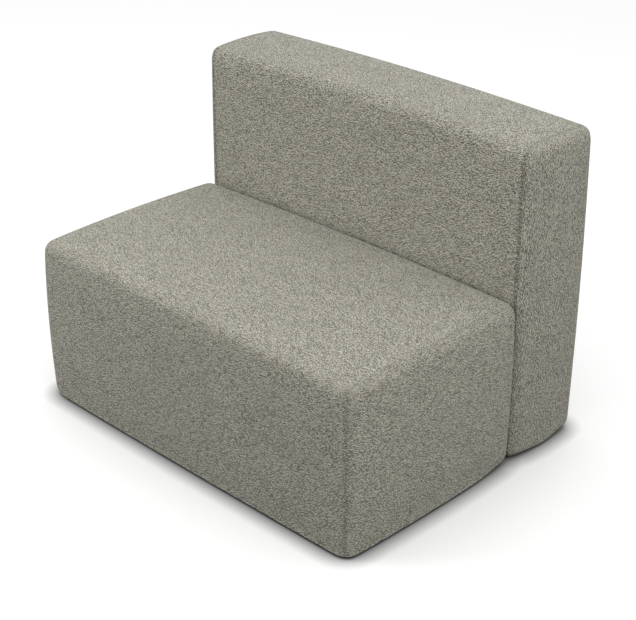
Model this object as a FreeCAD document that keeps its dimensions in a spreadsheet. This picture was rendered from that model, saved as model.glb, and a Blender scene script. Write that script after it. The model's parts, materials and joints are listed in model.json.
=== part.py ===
import FreeCAD, Part
import os
import Sketcher

# An armless two-seat sofa made of two upholstered blocks: a low seat block, and a tall back block bolted
# behind it. Millimetres, +Z up, front towards -Y, origin on the floor under the middle of the whole.

SIZES = {
    # Outside of the two blocks
    "overall_width": 1118,
    "overall_depth": 848,
    "overall_height": 842,
    "seat_depth": 598,
    "seat_height": 462,
    "joint_gap": 1,           # air between the covers of the two blocks
    "base_gap": 5,            # from the floor to the dust covers
    # Upholstery
    "cover_thickness": 2,
    "dust_thickness": 1,
    "dust_inset": 14,         # dust cover in from the foot of the block
    "hem_lip": 3,             # folded-under cover stops this far short of the boards' inner faces
    "fit_gap": 0.5,           # air between a cover and what it holds
    "seat_radius": 36,
    "back_radius": 32,
    "end_bulge": 6,           # how far the ends swell in plan, and again in height
    "face_bulge": 4,          # the same for the front of the seat
    "rear_bulge": 1,          # the same for the rear of the back
    "seat_crown_long": 10,    # rise of the seat's top along its width
    "seat_crown_deep": 5,     # rise of the seat's top along its depth
    "back_crown_long": 12,
    "back_crown_deep": 6,
    # Foam
    "pad_thickness": 24,
    "seat_foam": 130,
    "back_foam": 72,
    "back_foam_drop": 80,     # back foam starts this far under the seat's top
    "top_pad": 30,
    "rear_pad": 18,
    # Frame
    "board": 18,
    "rear_board": 4,
    "stretcher_height": 120,
    "rail_height": 100,
    "lumbar_height": 60,
    "block_side": 60,
    "block_height": 50,
    "block_gap": 16,          # room kept between the front and rear corner blocks of the back
    # Springs of the seat
    "spring_count": 8,
    "spring_runs": 25,
    "spring_wire": 4,
    "spring_width": 52,
    "clip_length": 24,
    "clip_depth": 14,
    "clip_wall": 1.5,
    "clip_room": 0.1,
    "tie_wire": 2.5,
    "felt": 3,
    # Webbing of the back
    "strap_width": 50,
    "strap_thickness": 2,
    "uprights": 6,
    "crossings": 3,
    # Levelling glides and their tee nuts
    "glide_diameter": 32,
    "glide_gap": 0.4,         # air between a glide's pad and the dust cover
    "stop_gap": 0.05,         # air between a glide's hub and its nut when screwed home
    "hub_diameter": 14,
    "hub_room": 1,
    "stem_diameter": 8,
    "stem_room": 0.05,
    "glide_travel": 12,
    "tip_diameter": 9.6,      # peened end that keeps the stem in its nut
    "tip_height": 3,
    "tip_room": 1.2,
    "nut_flange_diameter": 20,
    "nut_flange": 1.6,
    "nut_barrel_diameter": 10.5,
    "nut_barrel": 12,         # whole height of the nut
    # Bolts that join the blocks
    "bolt_room": 0.5,
    "bolt_spread": 300,
    "bolt_drop": 40,          # upper bolts under the top of the seat's rails
    "bolt_lead": 3,           # thread past the nut
    "bolt_head": 13,
    "bolt_head_height": 5.3,
    "washer_diameter": 24,
    "washer_thickness": 2,
    # Wood screws
    "screw_diameter": 4,
    "screw_head": 8,
    "screw_length": 45,
    "screw_edge": 40,         # outer screws in from the edge of a board
    "screw_spread": 30,       # paired screws either side of the middle of a rail
}

# Positions worked out from the sizes
LAYOUT = {
    "half_width": "size.overall_width / 2",
    "front_y": "-size.overall_depth / 2",
    "rear_y": "size.overall_depth / 2",
    "joint_y": "front_y + size.seat_depth",
    "cover_z": "size.base_gap + size.dust_thickness",
    "frame_z": "cover_z + size.cover_thickness",
    "skin": "size.cover_thickness + size.fit_gap",
    "foot_x": "half_width - 2 * size.end_bulge",
    "frame_x": "foot_x - max(skin + size.pad_thickness; size.seat_radius; size.back_radius)",
    "inner_x": "frame_x - size.board",
    # Seat block
    "seat_end_y": "joint_y - size.joint_gap / 2",
    "seat_foot_y": "front_y + 2 * size.face_bulge",
    "seat_front": "seat_foot_y + skin + size.pad_thickness",
    "seat_rear": "seat_end_y - skin",
    "seat_inner_front": "seat_front + size.board",
    "seat_inner_rear": "seat_rear - size.board",
    "foam_z": "size.seat_height - size.seat_foam",
    "felt_z": "foam_z - size.felt",
    "rail_top": "felt_z - size.clip_wall - size.spring_wire",
    "spring_pitch": "2 * inner_x / size.spring_count",
    # Back block
    "back_end_y": "joint_y + size.joint_gap / 2",
    "back_foot_y": "rear_y - 2 * size.rear_bulge",
    "back_front": "back_end_y + skin",
    "back_inner_front": "back_front + size.board",
    "back_upper": "back_front + size.back_foam",
    "panel_upper": "back_upper - size.strap_thickness",
    "foam_rear": "back_upper - 2 * size.strap_thickness",
    "pad_front": "back_foot_y - skin - size.rear_pad",
    "back_rear": "pad_front - size.rear_board",
    "back_inner_rear": "back_rear - size.board",
    "back_top": "size.overall_height - size.back_crown_long - size.back_crown_deep - skin - size.top_pad",
    "back_foam_z": "size.seat_height - size.back_foam_drop",
    "strap_pitch": "2 * inner_x / size.uprights",
    "strap_step": "(back_top - back_foam_z) / (size.crossings + 1)",
    # Blocks, screws, glides and bolts
    "block_x": "inner_x - size.block_side / 2",
    "back_block_depth": "min(size.block_side; (back_inner_rear - back_inner_front - size.block_gap) / 2)",
    "top_screw_edge": "min(size.screw_edge; (back_rear - back_upper) / 3)",
    "post_front": "back_upper + size.board",
    "post_screw_spread": "min(size.screw_spread; (back_inner_rear - post_front - size.screw_head) / 2)",
    "low_bolt_z": "frame_z + size.rail_height / 2",
    "high_bolt_z": "rail_top - size.bolt_drop",
    "bolt_head_y": "seat_inner_rear - size.washer_thickness - size.bolt_head_height",
    "bolt_end_y": "back_inner_front + size.nut_flange + size.bolt_lead",
}

V = FreeCAD.Vector
ALONG_X = FreeCAD.Rotation(V(0, 0, 1), V(1, 0, 0))
ALONG_Y = FreeCAD.Rotation(V(0, 0, 1), V(0, 1, 0))
AGAINST_X = FreeCAD.Rotation(V(0, 0, 1), V(-1, 0, 0))
AGAINST_Y = FreeCAD.Rotation(V(0, 0, 1), V(0, -1, 0))
DOWN = FreeCAD.Rotation(V(0, 0, 1), V(0, 0, -1))

doc = FreeCAD.newDocument("loveseat")


def fill_sheet(name, cells, sign=""):
    sheet = doc.addObject("Spreadsheet::Sheet", name)
    for row, (alias, content) in enumerate(cells.items(), 1):
        sheet.set(f"A{row}", alias)
        sheet.set(f"B{row}", f"{sign}{content}")
        sheet.setAlias(f"B{row}", alias)
    doc.recompute()
    return sheet


size = fill_sheet("size", SIZES)
lay = fill_sheet("lay", LAYOUT, "=")
subparts = []


def num(expression):
    return float(lay.evalExpression(expression))


def keep(item):
    """Marks an object as a finished piece of the sofa."""
    subparts.append(item)
    return item


def bind(item, **expressions):
    for name, expression in expressions.items():
        item.setExpression(name, expression)
    return item


def put(item, x="0", y="0", z="0"):
    for axis, expression in zip("xyz", (x, y, z)):
        item.setExpression(f"Placement.Base.{axis}", expression)
    return item


def box(label, x, y, z):
    """Box between a low and a high bound on each axis."""
    item = doc.addObject("Part::Box", label)
    for side, (low, high) in zip(("Length", "Width", "Height"), (x, y, z)):
        item.setExpression(side, f"{high} - ({low})")
    return put(item, x[0], y[0], z[0])


def rod(label, diameter, length, x="0", y="0", z="0", turn=FreeCAD.Rotation()):
    item = doc.addObject("Part::Cylinder", label)
    item.Placement = FreeCAD.Placement(V(), turn)
    bind(item, Radius=f"({diameter}) / 2", Height=length)
    return put(item, x, y, z)


def cut(label, base, tool):
    item = doc.addObject("Part::Cut", label)
    item.Base, item.Tool = base, tool
    return item


def common(label, base, tool):
    item = doc.addObject("Part::Common", label)
    item.Base, item.Tool = base, tool
    return item


def fuse(label, base, tool):
    item = doc.addObject("Part::Fuse", label)
    item.Base, item.Tool = base, tool
    return item


def group(label, items):
    """Separate copies of one kind of piece, kept together."""
    item = doc.addObject("Part::Compound", label)
    item.Links = items
    return item


def copies(label, master, places):
    """Places one master at each (turn, x, y, z)."""
    links = []
    for number, (turn, x, y, z) in enumerate(places, 1):
        link = doc.addObject("App::Link", f"{label}_{number}")
        link.LinkedObject = master
        link.Placement = FreeCAD.Placement(V(), turn)
        links.append(put(link, x, y, z))
    return group(label, links)


def outline(body, role, corners):
    """Closed sketch through corners given as pairs of expressions, none of them negative."""
    sketch = body.newObject("Sketcher::SketchObject", f"{body.Name}_outline")
    plane = next(item for item in body.Origin.OriginFeatures if item.Role == role)
    sketch.AttachmentSupport = [(plane, "")]
    sketch.MapMode = "FlatFace"
    points = [V(num(u), num(v), 0) for u, v in corners]
    count = len(points)
    for start, end in zip(points, points[1:] + points[:1]):
        sketch.addGeometry(Part.LineSegment(start, end))
    for line in range(count):
        sketch.addConstraint(Sketcher.Constraint("Coincident", line, 2, (line + 1) % count, 1))
    for line, corner in enumerate(corners):
        for kind, expression, axis in zip(("DistanceX", "DistanceY"), corner, (-2, -1)):
            if expression == "0":
                sketch.addConstraint(Sketcher.Constraint("PointOnObject", line, 1, axis))
            else:
                index = sketch.addConstraint(Sketcher.Constraint(kind, -1, 1, line, 1, num(expression)))
                sketch.setExpression(f"Constraints[{index}]", expression)
    return sketch


def turned(label, corners):
    """Body turned about its Z axis from (radius, height) corners."""
    body = doc.addObject("PartDesign::Body", label)
    sketch = outline(body, "XZ_Plane", corners)
    feature = body.newObject("PartDesign::Revolution", f"{label}_turned")
    feature.Profile = sketch
    feature.ReferenceAxis = (sketch, ["V_Axis"])
    feature.Angle = 360
    return body


def sawn(label, corners, thickness):
    """Board of a given thickness along X, sawn to (depth, height) corners."""
    body = doc.addObject("PartDesign::Body", label)
    feature = body.newObject("PartDesign::Pad", f"{label}_board")
    feature.Profile = outline(body, "YZ_Plane", corners)
    bind(feature, Length=thickness)
    body.Tip = feature
    return body


def bowed_wire(corners, bows, place):
    """Four-sided wire whose sides are arcs that stand out from the chord by the bows."""
    edges = []
    for (u0, v0), (u1, v1), bow in zip(corners, corners[1:] + corners[:1], bows):
        reach = ((u1 - u0) ** 2 + (v1 - v0) ** 2) ** 0.5
        middle = place((u0 + u1) / 2 + (v1 - v0) / reach * bow, (v0 + v1) / 2 - (u1 - u0) / reach * bow)
        start, end = place(u0, v0), place(u1, v1)
        edges.append((Part.Arc(start, middle, end) if bow else Part.LineSegment(start, end)).toShape())
    return Part.Wire(edges)


def crowned_block(label, half, y_low, y_high, z_low, z_high, radius, swell, crown):
    """Upholstered block: sides that swell in plan and in height, a crowned top, rounded edges.

    swell holds the swell of the front, the ends and the rear, crown the rise along X and along Y.
    """
    front, end, rear = swell
    rise_x, rise_y = crown
    rings = []
    for level, drawn_in in ((z_low, 2), ((z_low + z_high) / 2, 1), (z_high, 2)):
        x, y0, y1 = half - drawn_in * end, y_low + drawn_in * front, y_high - drawn_in * rear
        rings.append(bowed_wire([(-x, y0), (x, y0), (x, y1), (-x, y1)], (front, end, rear, end),
                                lambda u, v, level=level: V(u, v, level)))
    profiles = []
    for side in (-1, 0, 1):
        top = z_high - rise_y - rise_x * abs(side)
        profiles.append(bowed_wire([(y_low, z_low), (y_high, z_low), (y_high, top), (y_low, top)],
                                   (0, 0, rise_y, 0), lambda u, v, side=side: V(side * half, u, v)))
    solid = Part.makeLoft(rings, True).common(Part.makeLoft(profiles, True)).removeSplitter()
    rounded = [edge for edge in solid.Edges if edge.CenterOfMass.z > z_low + radius]
    item = doc.addObject("Part::Feature", label)
    item.Shape = solid.makeFillet(radius, rounded)
    return item


def seat_block(label, inset, z_low):
    gap = num(inset)
    return crowned_block(label, num("half_width") - gap, num("front_y") + gap, num("seat_end_y") - gap,
                         num(z_low), num("size.seat_height") - gap, num("size.seat_radius") - gap,
                         swell=(num("size.face_bulge"), num("size.end_bulge"), 0),
                         crown=(num("size.seat_crown_long"), num("size.seat_crown_deep")))


def back_block(label, inset, z_low):
    gap = num(inset)
    return crowned_block(label, num("half_width") - gap, num("back_end_y") + gap, num("rear_y") - gap,
                         num(z_low), num("size.overall_height") - gap, num("size.back_radius") - gap,
                         swell=(0, num("size.end_bulge"), num("size.rear_bulge")),
                         crown=(num("size.back_crown_long"), num("size.back_crown_deep")))


def cover(label, block, inner_y, holes):
    """Sewn cover: a skin over the whole block, folded under the boards, with holes for the bolts."""
    skin = cut(f"{label}_skin", block(f"{label}_outside", "0", "cover_z"),
               block(f"{label}_inside", "size.cover_thickness", "frame_z"))
    mouth = box(f"{label}_mouth", ("-lay.inner_x - size.hem_lip", "lay.inner_x + size.hem_lip"),
                (f"{inner_y[0]} - size.hem_lip", f"{inner_y[1]} + size.hem_lip"), ("0", "lay.frame_z"))
    return keep(cut(label, cut(f"{label}_hemmed", skin, mouth), holes))


def mirrored_pair(name, x_low, x_high, make):
    """Makes a left piece and its mirror image on the right, from bounds on the right."""
    for side, x in (("left", (f"-({x_high})", f"-({x_low})")), ("right", (x_low, x_high))):
        make(f"{name[0]}_{side}_{name[1]}", x)


# Masters of the fasteners, each at the origin with its axis along Z

SHANK, FLANGE, BARREL = (f"size.{piece}_diameter / 2" for piece in ("screw", "nut_flange", "nut_barrel"))
NUT_BORE = "size.stem_diameter / 2 + size.stem_room"
BOLT_BORE = "size.stem_diameter / 2 + size.bolt_room"
screw = turned("screw", [
    ("0", "0"), ("size.screw_head / 2", "0"), (SHANK, "size.screw_head / 4"),
    (SHANK, "size.screw_length - size.screw_diameter"), ("0", "size.screw_length")])
tee_nut = turned("tee_nut", [
    (NUT_BORE, "0"), (FLANGE, "0"), (FLANGE, "size.nut_flange"), (BARREL, "size.nut_flange"),
    (BARREL, "size.nut_barrel"), (NUT_BORE, "size.nut_barrel")])
washer = turned("washer", [
    (BOLT_BORE, "0"), ("size.washer_diameter / 2", "0"),
    ("size.washer_diameter / 2", "size.washer_thickness"), (BOLT_BORE, "size.washer_thickness")])
bolt_head = doc.addObject("Part::Prism", "bolt_head")
bind(bolt_head, Circumradius="size.bolt_head / sqrt(3)", Height="size.bolt_head_height")
bolt_head.Polygon = 6
bolt = fuse("bolt", bolt_head, rod("bolt_shank", "size.stem_diameter", "lay.bolt_end_y - lay.bolt_head_y"))

BOLTS = [(f"{sign}size.bolt_spread", f"lay.{row}_bolt_z") for sign in ("-", "") for row in ("low", "high")]
bolt_holes = group("bolt_holes", [
    rod(f"bolt_hole_{number}", f"2 * ({BOLT_BORE})", "lay.back_front - lay.bolt_head_y",
        x, "lay.bolt_head_y", z, ALONG_Y) for number, (x, z) in enumerate(BOLTS, 1)])
nut_holes = group("nut_holes", [
    rod(f"nut_hole_{number}", "size.nut_barrel_diameter", "size.board", x, "lay.back_front", z, ALONG_Y)
    for number, (x, z) in enumerate(BOLTS, 1)])

# Frame of the seat: two rails, two side boards between them and a stretcher

FULL_X = ("-lay.frame_x", "lay.frame_x")
INNER_X = ("-lay.inner_x", "lay.inner_x")
MIDDLE_X = ("-size.board / 2", "size.board / 2")
SEAT_Z = ("lay.frame_z", "lay.rail_top")
SEAT_INNER_Y = ("lay.seat_inner_front", "lay.seat_inner_rear")

rail_spots = [(f"{sign}(lay.frame_x - size.board / 2)", z) for sign in ("-", "") for z in (
    "lay.frame_z + size.screw_edge", "(lay.frame_z + lay.rail_top) / 2", "lay.rail_top - size.screw_edge")]
rail_spots += [("0", f"lay.frame_z + size.stretcher_height / 2 {sign} size.screw_spread") for sign in "+-"]
seat_screws = keep(copies("seat_frame_screws", screw, [
    (turn, x, y, z) for turn, y in ((ALONG_Y, "lay.seat_front"), (AGAINST_Y, "lay.seat_rear"))
    for x, z in rail_spots]))

front_rail = box("seat_front_rail_blank", FULL_X, ("lay.seat_front", "lay.seat_inner_front"), SEAT_Z)
keep(cut("seat_front_rail", front_rail, seat_screws))
rear_rail = box("seat_rear_rail_blank", FULL_X, ("lay.seat_inner_rear", "lay.seat_rear"), SEAT_Z)
keep(cut("seat_rear_rail", cut("seat_rear_rail_screwed", rear_rail, seat_screws), bolt_holes))
mirrored_pair(("seat", "side_board"), "lay.inner_x", "lay.frame_x", lambda label, x: keep(
    cut(label, box(f"{label}_blank", x, SEAT_INNER_Y, SEAT_Z), seat_screws)))
stretcher = box("seat_stretcher_blank", MIDDLE_X, SEAT_INNER_Y,
                ("lay.frame_z", "lay.frame_z + size.stretcher_height"))
keep(cut("seat_stretcher", stretcher, seat_screws))

# Corner blocks with their tee nuts, four in each block of the sofa

nut_seat = fuse("nut_seat", rod("nut_seat_flange", "size.nut_flange_diameter", "size.nut_flange"),
                fuse("nut_seat_bore", rod("nut_seat_barrel", "size.nut_barrel_diameter", "size.nut_barrel"),
                     rod("nut_seat_tip", "size.tip_diameter + 2 * size.tip_room",
                         "size.block_height - size.nut_barrel", z="size.nut_barrel")))
BLOCK_DEPTHS = {"seat": "size.block_side", "back": "lay.back_block_depth"}
glide_spots = {
    f"{block}_{row}_{side}": (x, f"lay.{block}_inner_{row} {shift} {depth} / 2")
    for block, depth in BLOCK_DEPTHS.items() for row, shift in (("front", "+"), ("rear", "-"))
    for side, x in (("left", "-lay.block_x"), ("right", "lay.block_x"))}
for block, depth in BLOCK_DEPTHS.items():
    blank = box(f"{block}_corner_block_blank", ("-size.block_side / 2", "size.block_side / 2"),
                (f"-{depth} / 2", f"{depth} / 2"), ("0", "size.block_height"))
    spots = [(FreeCAD.Rotation(), x, y, "lay.frame_z")
             for name, (x, y) in glide_spots.items() if name.startswith(block)]
    keep(copies(f"{block}_corner_blocks", cut(f"{block}_corner_block", blank, nut_seat), spots))
    keep(copies(f"{block}_glide_nuts", tee_nut, spots))

# Levelling glides: a nylon pad and hub on a threaded stem whose peened tip keeps it in the nut

PAD, HUB, STEM, TIP = (f"size.{piece}_diameter / 2" for piece in ("glide", "hub", "stem", "tip"))
PAD_TOP = "size.base_gap - size.glide_gap"
HUB_TOP = "lay.frame_z - size.stop_gap"
STEM_TOP = "lay.frame_z + size.nut_barrel + size.glide_travel"
TIP_TOP = f"{STEM_TOP} + size.tip_height"
GLIDE_OUTLINE = [("0", "0"), (PAD, "0"), (PAD, PAD_TOP), (HUB, PAD_TOP), (HUB, HUB_TOP), (STEM, HUB_TOP),
                 (STEM, STEM_TOP), (TIP, STEM_TOP), (TIP, TIP_TOP), ("0", TIP_TOP)]
for name, (x, y) in glide_spots.items():
    keep(put(turned(f"{name}_glide", GLIDE_OUTLINE), x, y))

# Suspension of the seat: zigzag springs clipped to the rails, tie wires under them and a felt over them


def zigzag_spring():
    """Flat zigzag wire from the front rail to the rear rail, its runs along X, centred on X = 0."""
    first, last = num("seat_front + size.board / 2"), num("seat_rear - size.board / 2")
    runs = round(num("size.spring_runs"))
    wire = num("size.spring_wire")
    step = (last - first) / (runs - 1)
    reach = (num("size.spring_width") - wire - step) / 2
    level = num("rail_top") + wire / 2
    edges = []
    for run in range(runs):
        y, side = first + run * step, 1 if run % 2 == 0 else -1
        edges.append(Part.LineSegment(V(-side * reach, y, level), V(side * reach, y, level)).toShape())
        if run < runs - 1:
            start, end = V(side * reach, y, level), V(side * reach, y + step, level)
            edges.append(Part.Arc(start, V(side * (reach + step / 2), y + step / 2, level), end).toShape())
    section = Part.Wire([Part.makeCircle(wire / 2, V(-reach, first, level), V(1, 0, 0))])
    return Part.Wire(edges).makePipeShell([section], True)


spring_shape = zigzag_spring()
spring_x = [f"-lay.inner_x + {number + 0.5} * lay.spring_pitch"
            for number in range(round(num("size.spring_count")))]
for number, x in enumerate(spring_x, 1):
    spring = keep(doc.addObject("Part::Feature", f"seat_spring_{number}"))
    spring.Shape = spring_shape
    put(spring, x)

CLIP_TUNNEL = "size.spring_wire + 2 * size.clip_room"
clip_blank = box("clip_blank", ("-size.clip_length / 2", "size.clip_length / 2"),
                 ("-size.clip_depth / 2", "size.clip_depth / 2"), ("0", "size.spring_wire + size.clip_wall"))
clip_slot = fuse("clip_slot", rod("clip_tunnel", CLIP_TUNNEL, "size.clip_length", "-size.clip_length / 2",
                                  z="size.spring_wire / 2", turn=ALONG_X),
                 box("clip_mouth", ("-size.clip_length / 2", "size.clip_length / 2"),
                     (f"-({CLIP_TUNNEL}) / 2", f"({CLIP_TUNNEL}) / 2"), ("0", "size.spring_wire / 2")))
clip = cut("clip", clip_blank, clip_slot)
keep(copies("seat_spring_clips", clip, [
    (FreeCAD.Rotation(), x, y, "lay.rail_top") for x in spring_x
    for y in ("lay.seat_front + size.board / 2", "lay.seat_rear - size.board / 2")]))
keep(group("seat_tie_wires", [
    rod(f"tie_wire_{number}", "size.tie_wire", "2 * lay.inner_x", "-lay.inner_x",
        f"lay.seat_inner_front + {number} * (lay.seat_inner_rear - lay.seat_inner_front) / 3",
        "lay.rail_top - size.tie_wire / 2", ALONG_X) for number in (1, 2)]))
keep(box("seat_felt", FULL_X, ("lay.seat_front", "lay.seat_rear"), ("lay.felt_z", "lay.foam_z")))

# Foam and cover of the seat: the padding is what is left of the block around the frame

ALL_X = ("-lay.half_width", "lay.half_width")
seat_core = seat_block("seat_core", "skin", "frame_z")
SEAT_PAD_Z = ("lay.frame_z", "lay.foam_z")
keep(common("seat_foam", seat_core, box("seat_foam_room", ALL_X, ("lay.front_y", "lay.joint_y"),
                                        ("lay.foam_z", "size.seat_height"))))
keep(common("seat_front_pad", seat_core, box("seat_front_pad_room", ALL_X, ("lay.front_y", "lay.seat_front"),
                                             SEAT_PAD_Z)))
mirrored_pair(("seat", "end_pad"), "lay.frame_x", "lay.half_width", lambda label, x: keep(
    common(label, seat_core, box(f"{label}_room", x, ("lay.seat_front", "lay.joint_y"), SEAT_PAD_Z))))
cover("seat_cover", seat_block, SEAT_INNER_Y, bolt_holes)

# Frame of the back: two end panels stepped to make room for the foam, four rails, a top board and a post

PAIR = [f"{sign} size.screw_spread" for sign in "+-"]
end_spots = [("lay.back_upper + lay.top_screw_edge", "lay.back_top - size.board / 2"),
             ("lay.back_rear - lay.top_screw_edge", "lay.back_top - size.board / 2"),
             ("lay.back_upper + size.board / 2", "lay.back_foam_z + size.lumbar_height / 2")]
end_spots += [("lay.back_front + size.board / 2", f"lay.high_bolt_z {shift}") for shift in PAIR]
end_spots += [(y, f"lay.low_bolt_z {shift}") for shift in PAIR
              for y in ("lay.back_front + size.board / 2", "lay.back_rear - size.board / 2")]
post_spots = [(DOWN, "0", f"(lay.post_front + lay.back_inner_rear) / 2 {sign} lay.post_screw_spread",
               "lay.back_top") for sign in "+-"]
back_screws = keep(copies("back_frame_screws", screw, [
    (turn, x, y, z) for turn, x in ((ALONG_X, "-lay.frame_x"), (AGAINST_X, "lay.frame_x"))
    for y, z in end_spots] + post_spots))

END_OUTLINE = [
    ("0", "0"), ("lay.back_rear - lay.back_front", "0"),
    ("lay.back_rear - lay.back_front", "lay.back_top - lay.frame_z"),
    ("lay.panel_upper - lay.back_front", "lay.back_top - lay.frame_z"),
    ("lay.panel_upper - lay.back_front", "lay.back_foam_z - lay.frame_z"),
    ("0", "lay.back_foam_z - lay.frame_z")]
mirrored_pair(("back", "end_panel"), "lay.inner_x", "lay.frame_x", lambda label, x: keep(
    cut(label, put(sawn(f"{label}_blank", END_OUTLINE, "size.board"), x[0], "lay.back_front", "lay.frame_z"),
        back_screws)))

FRONT_Y = ("lay.back_front", "lay.back_inner_front")
RAIL_Z = ("lay.frame_z", "lay.frame_z + size.rail_height")
MIDDLE_Z = ("lay.high_bolt_z - size.rail_height / 2", "lay.high_bolt_z + size.rail_height / 2")
back_boards = {
    "back_top_board": (INNER_X, ("lay.back_upper", "lay.back_rear"),
                       ("lay.back_top - size.board", "lay.back_top")),
    "back_lumbar_rail": (INNER_X, ("lay.back_upper", "lay.back_upper + size.board"),
                         ("lay.back_foam_z", "lay.back_foam_z + size.lumbar_height")),
    "back_rear_rail": (INNER_X, ("lay.back_inner_rear", "lay.back_rear"), RAIL_Z),
    "back_post": (MIDDLE_X, ("lay.post_front", "lay.back_inner_rear"),
                  ("lay.frame_z", "lay.back_top - size.board")),
}
for label, bounds in back_boards.items():
    keep(cut(label, box(f"{label}_blank", *bounds), back_screws))
for label, z in (("back_front_rail", RAIL_Z), ("back_middle_rail", MIDDLE_Z)):
    screwed = cut(f"{label}_screwed", box(f"{label}_blank", INNER_X, FRONT_Y, z), back_screws)
    keep(cut(label, screwed, nut_holes))
keep(box("back_rear_board", FULL_X, ("lay.back_rear", "lay.pad_front"), ("lay.frame_z", "lay.back_top")))

# Webbing of the back: upright straps on the rails, and crossing straps over them on the end panels

keep(group("back_upright_straps", [
    box(f"upright_strap_{number}",
        [f"-lay.inner_x + {number - 0.5} * lay.strap_pitch {sign} size.strap_width / 2" for sign in "-+"],
        ("lay.panel_upper", "lay.back_upper"), ("lay.back_foam_z", "lay.back_top"))
    for number in range(1, round(num("size.uprights")) + 1)]))
keep(group("back_crossing_straps", [
    box(f"crossing_strap_{number}", FULL_X, ("lay.foam_rear", "lay.panel_upper"),
        [f"lay.back_foam_z + {number} * lay.strap_step {sign} size.strap_width / 2" for sign in "-+"])
    for number in range(1, round(num("size.crossings")) + 1)]))

# Foam and cover of the back

back_core = back_block("back_core", "skin", "frame_z")
keep(common("back_foam", back_core, box("back_foam_room", ALL_X, ("lay.joint_y", "lay.foam_rear"),
                                        ("lay.back_foam_z", "size.overall_height"))))
keep(common("back_top_pad", back_core, box("back_top_pad_room", ALL_X, ("lay.foam_rear", "lay.pad_front"),
                                           ("lay.back_top", "size.overall_height"))))
keep(common("back_rear_pad", back_core, box("back_rear_pad_room", ALL_X, ("lay.pad_front", "lay.rear_y"),
                                            ("lay.frame_z", "size.overall_height"))))
LOW_ROOM = (("lay.joint_y", "lay.pad_front"), ("lay.frame_z", "lay.back_foam_z"))
HIGH_ROOM = (("lay.foam_rear", "lay.pad_front"), ("lay.back_foam_z", "lay.back_top"))
mirrored_pair(("back", "end_pad"), "lay.frame_x", "lay.half_width", lambda label, x: keep(
    common(label, back_core, fuse(f"{label}_room", box(f"{label}_low_room", x, *LOW_ROOM),
                                  box(f"{label}_high_room", x, *HIGH_ROOM)))))
cover("back_cover", back_block, ("lay.back_inner_front", "lay.back_inner_rear"), bolt_holes)

# Bolts, washers and tee nuts that join the two blocks

keep(copies("joining_bolts", bolt, [(ALONG_Y, x, "lay.bolt_head_y", z) for x, z in BOLTS]))
keep(copies("joining_washers", washer, [
    (ALONG_Y, x, "lay.seat_inner_rear - size.washer_thickness", z) for x, z in BOLTS]))
keep(copies("joining_nuts", tee_nut, [
    (AGAINST_Y, x, "lay.back_inner_front + size.nut_flange", z) for x, z in BOLTS]))

# Dust covers under both blocks, with a hole round the hub of each glide

for block, low_y, high_y in (("seat", "seat_foot_y", "seat_end_y"), ("back", "back_end_y", "back_foot_y")):
    sheet_blank = box(f"{block}_dust_cover_blank",
                      ("-lay.foot_x + size.dust_inset", "lay.foot_x - size.dust_inset"),
                      (f"lay.{low_y} + size.dust_inset", f"lay.{high_y} - size.dust_inset"),
                      ("size.base_gap", "lay.cover_z"))
    hub_holes = group(f"{block}_hub_holes", [
        rod(f"{name}_hub_hole", "size.hub_diameter + 2 * size.hub_room", "lay.cover_z", *spot)
        for name, spot in glide_spots.items() if name.startswith(block)])
    keep(cut(f"{block}_dust_cover", sheet_blank, hub_holes))

doc.recompute()

for item in doc.Objects:
    if {"Invalid", "Error"} & set(item.State):
        raise RuntimeError(f"{item.Label} failed: {item.State}")
for item in subparts:
    if item.Shape.isNull() or not item.Shape.isValid() or not item.Shape.Solids:
        raise RuntimeError(f"{item.Label} has no valid solid")

os.makedirs("parts", exist_ok=True)
for item in subparts:
    item.Shape.exportStep(f"parts/{item.Label}.step")
print(len(subparts), "pieces,", sum(len(item.Shape.Solids) for item in subparts), "solids")
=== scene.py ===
import json
import math

import bmesh
import bpy
import numpy as np
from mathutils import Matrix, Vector
from mathutils.bvhtree import BVHTree
from mathutils.geometry import delaunay_2d_cdt


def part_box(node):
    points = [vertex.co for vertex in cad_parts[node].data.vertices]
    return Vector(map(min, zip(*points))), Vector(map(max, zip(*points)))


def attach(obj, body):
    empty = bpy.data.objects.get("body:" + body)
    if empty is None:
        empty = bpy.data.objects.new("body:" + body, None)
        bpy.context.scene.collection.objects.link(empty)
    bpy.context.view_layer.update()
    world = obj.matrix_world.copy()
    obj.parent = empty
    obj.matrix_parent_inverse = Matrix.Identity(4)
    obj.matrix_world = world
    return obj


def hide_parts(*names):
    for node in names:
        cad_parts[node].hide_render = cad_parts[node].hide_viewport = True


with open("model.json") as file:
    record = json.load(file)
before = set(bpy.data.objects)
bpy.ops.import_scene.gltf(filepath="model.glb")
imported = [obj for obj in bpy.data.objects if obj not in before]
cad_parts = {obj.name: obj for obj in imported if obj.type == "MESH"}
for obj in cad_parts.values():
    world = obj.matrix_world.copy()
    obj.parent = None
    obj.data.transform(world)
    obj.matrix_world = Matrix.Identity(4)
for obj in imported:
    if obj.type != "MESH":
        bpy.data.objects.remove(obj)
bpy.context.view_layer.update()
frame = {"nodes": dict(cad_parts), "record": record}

# A loveseat of two upholstered blocks. Metres, in the frame of the CAD model: front towards -Y, +Z up.

scene = bpy.context.scene
nodes = frame["nodes"]
slot_of = {row["node"]: row["material_slot"] for row in frame["record"]["subparts"]}


# Shader sums

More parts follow.
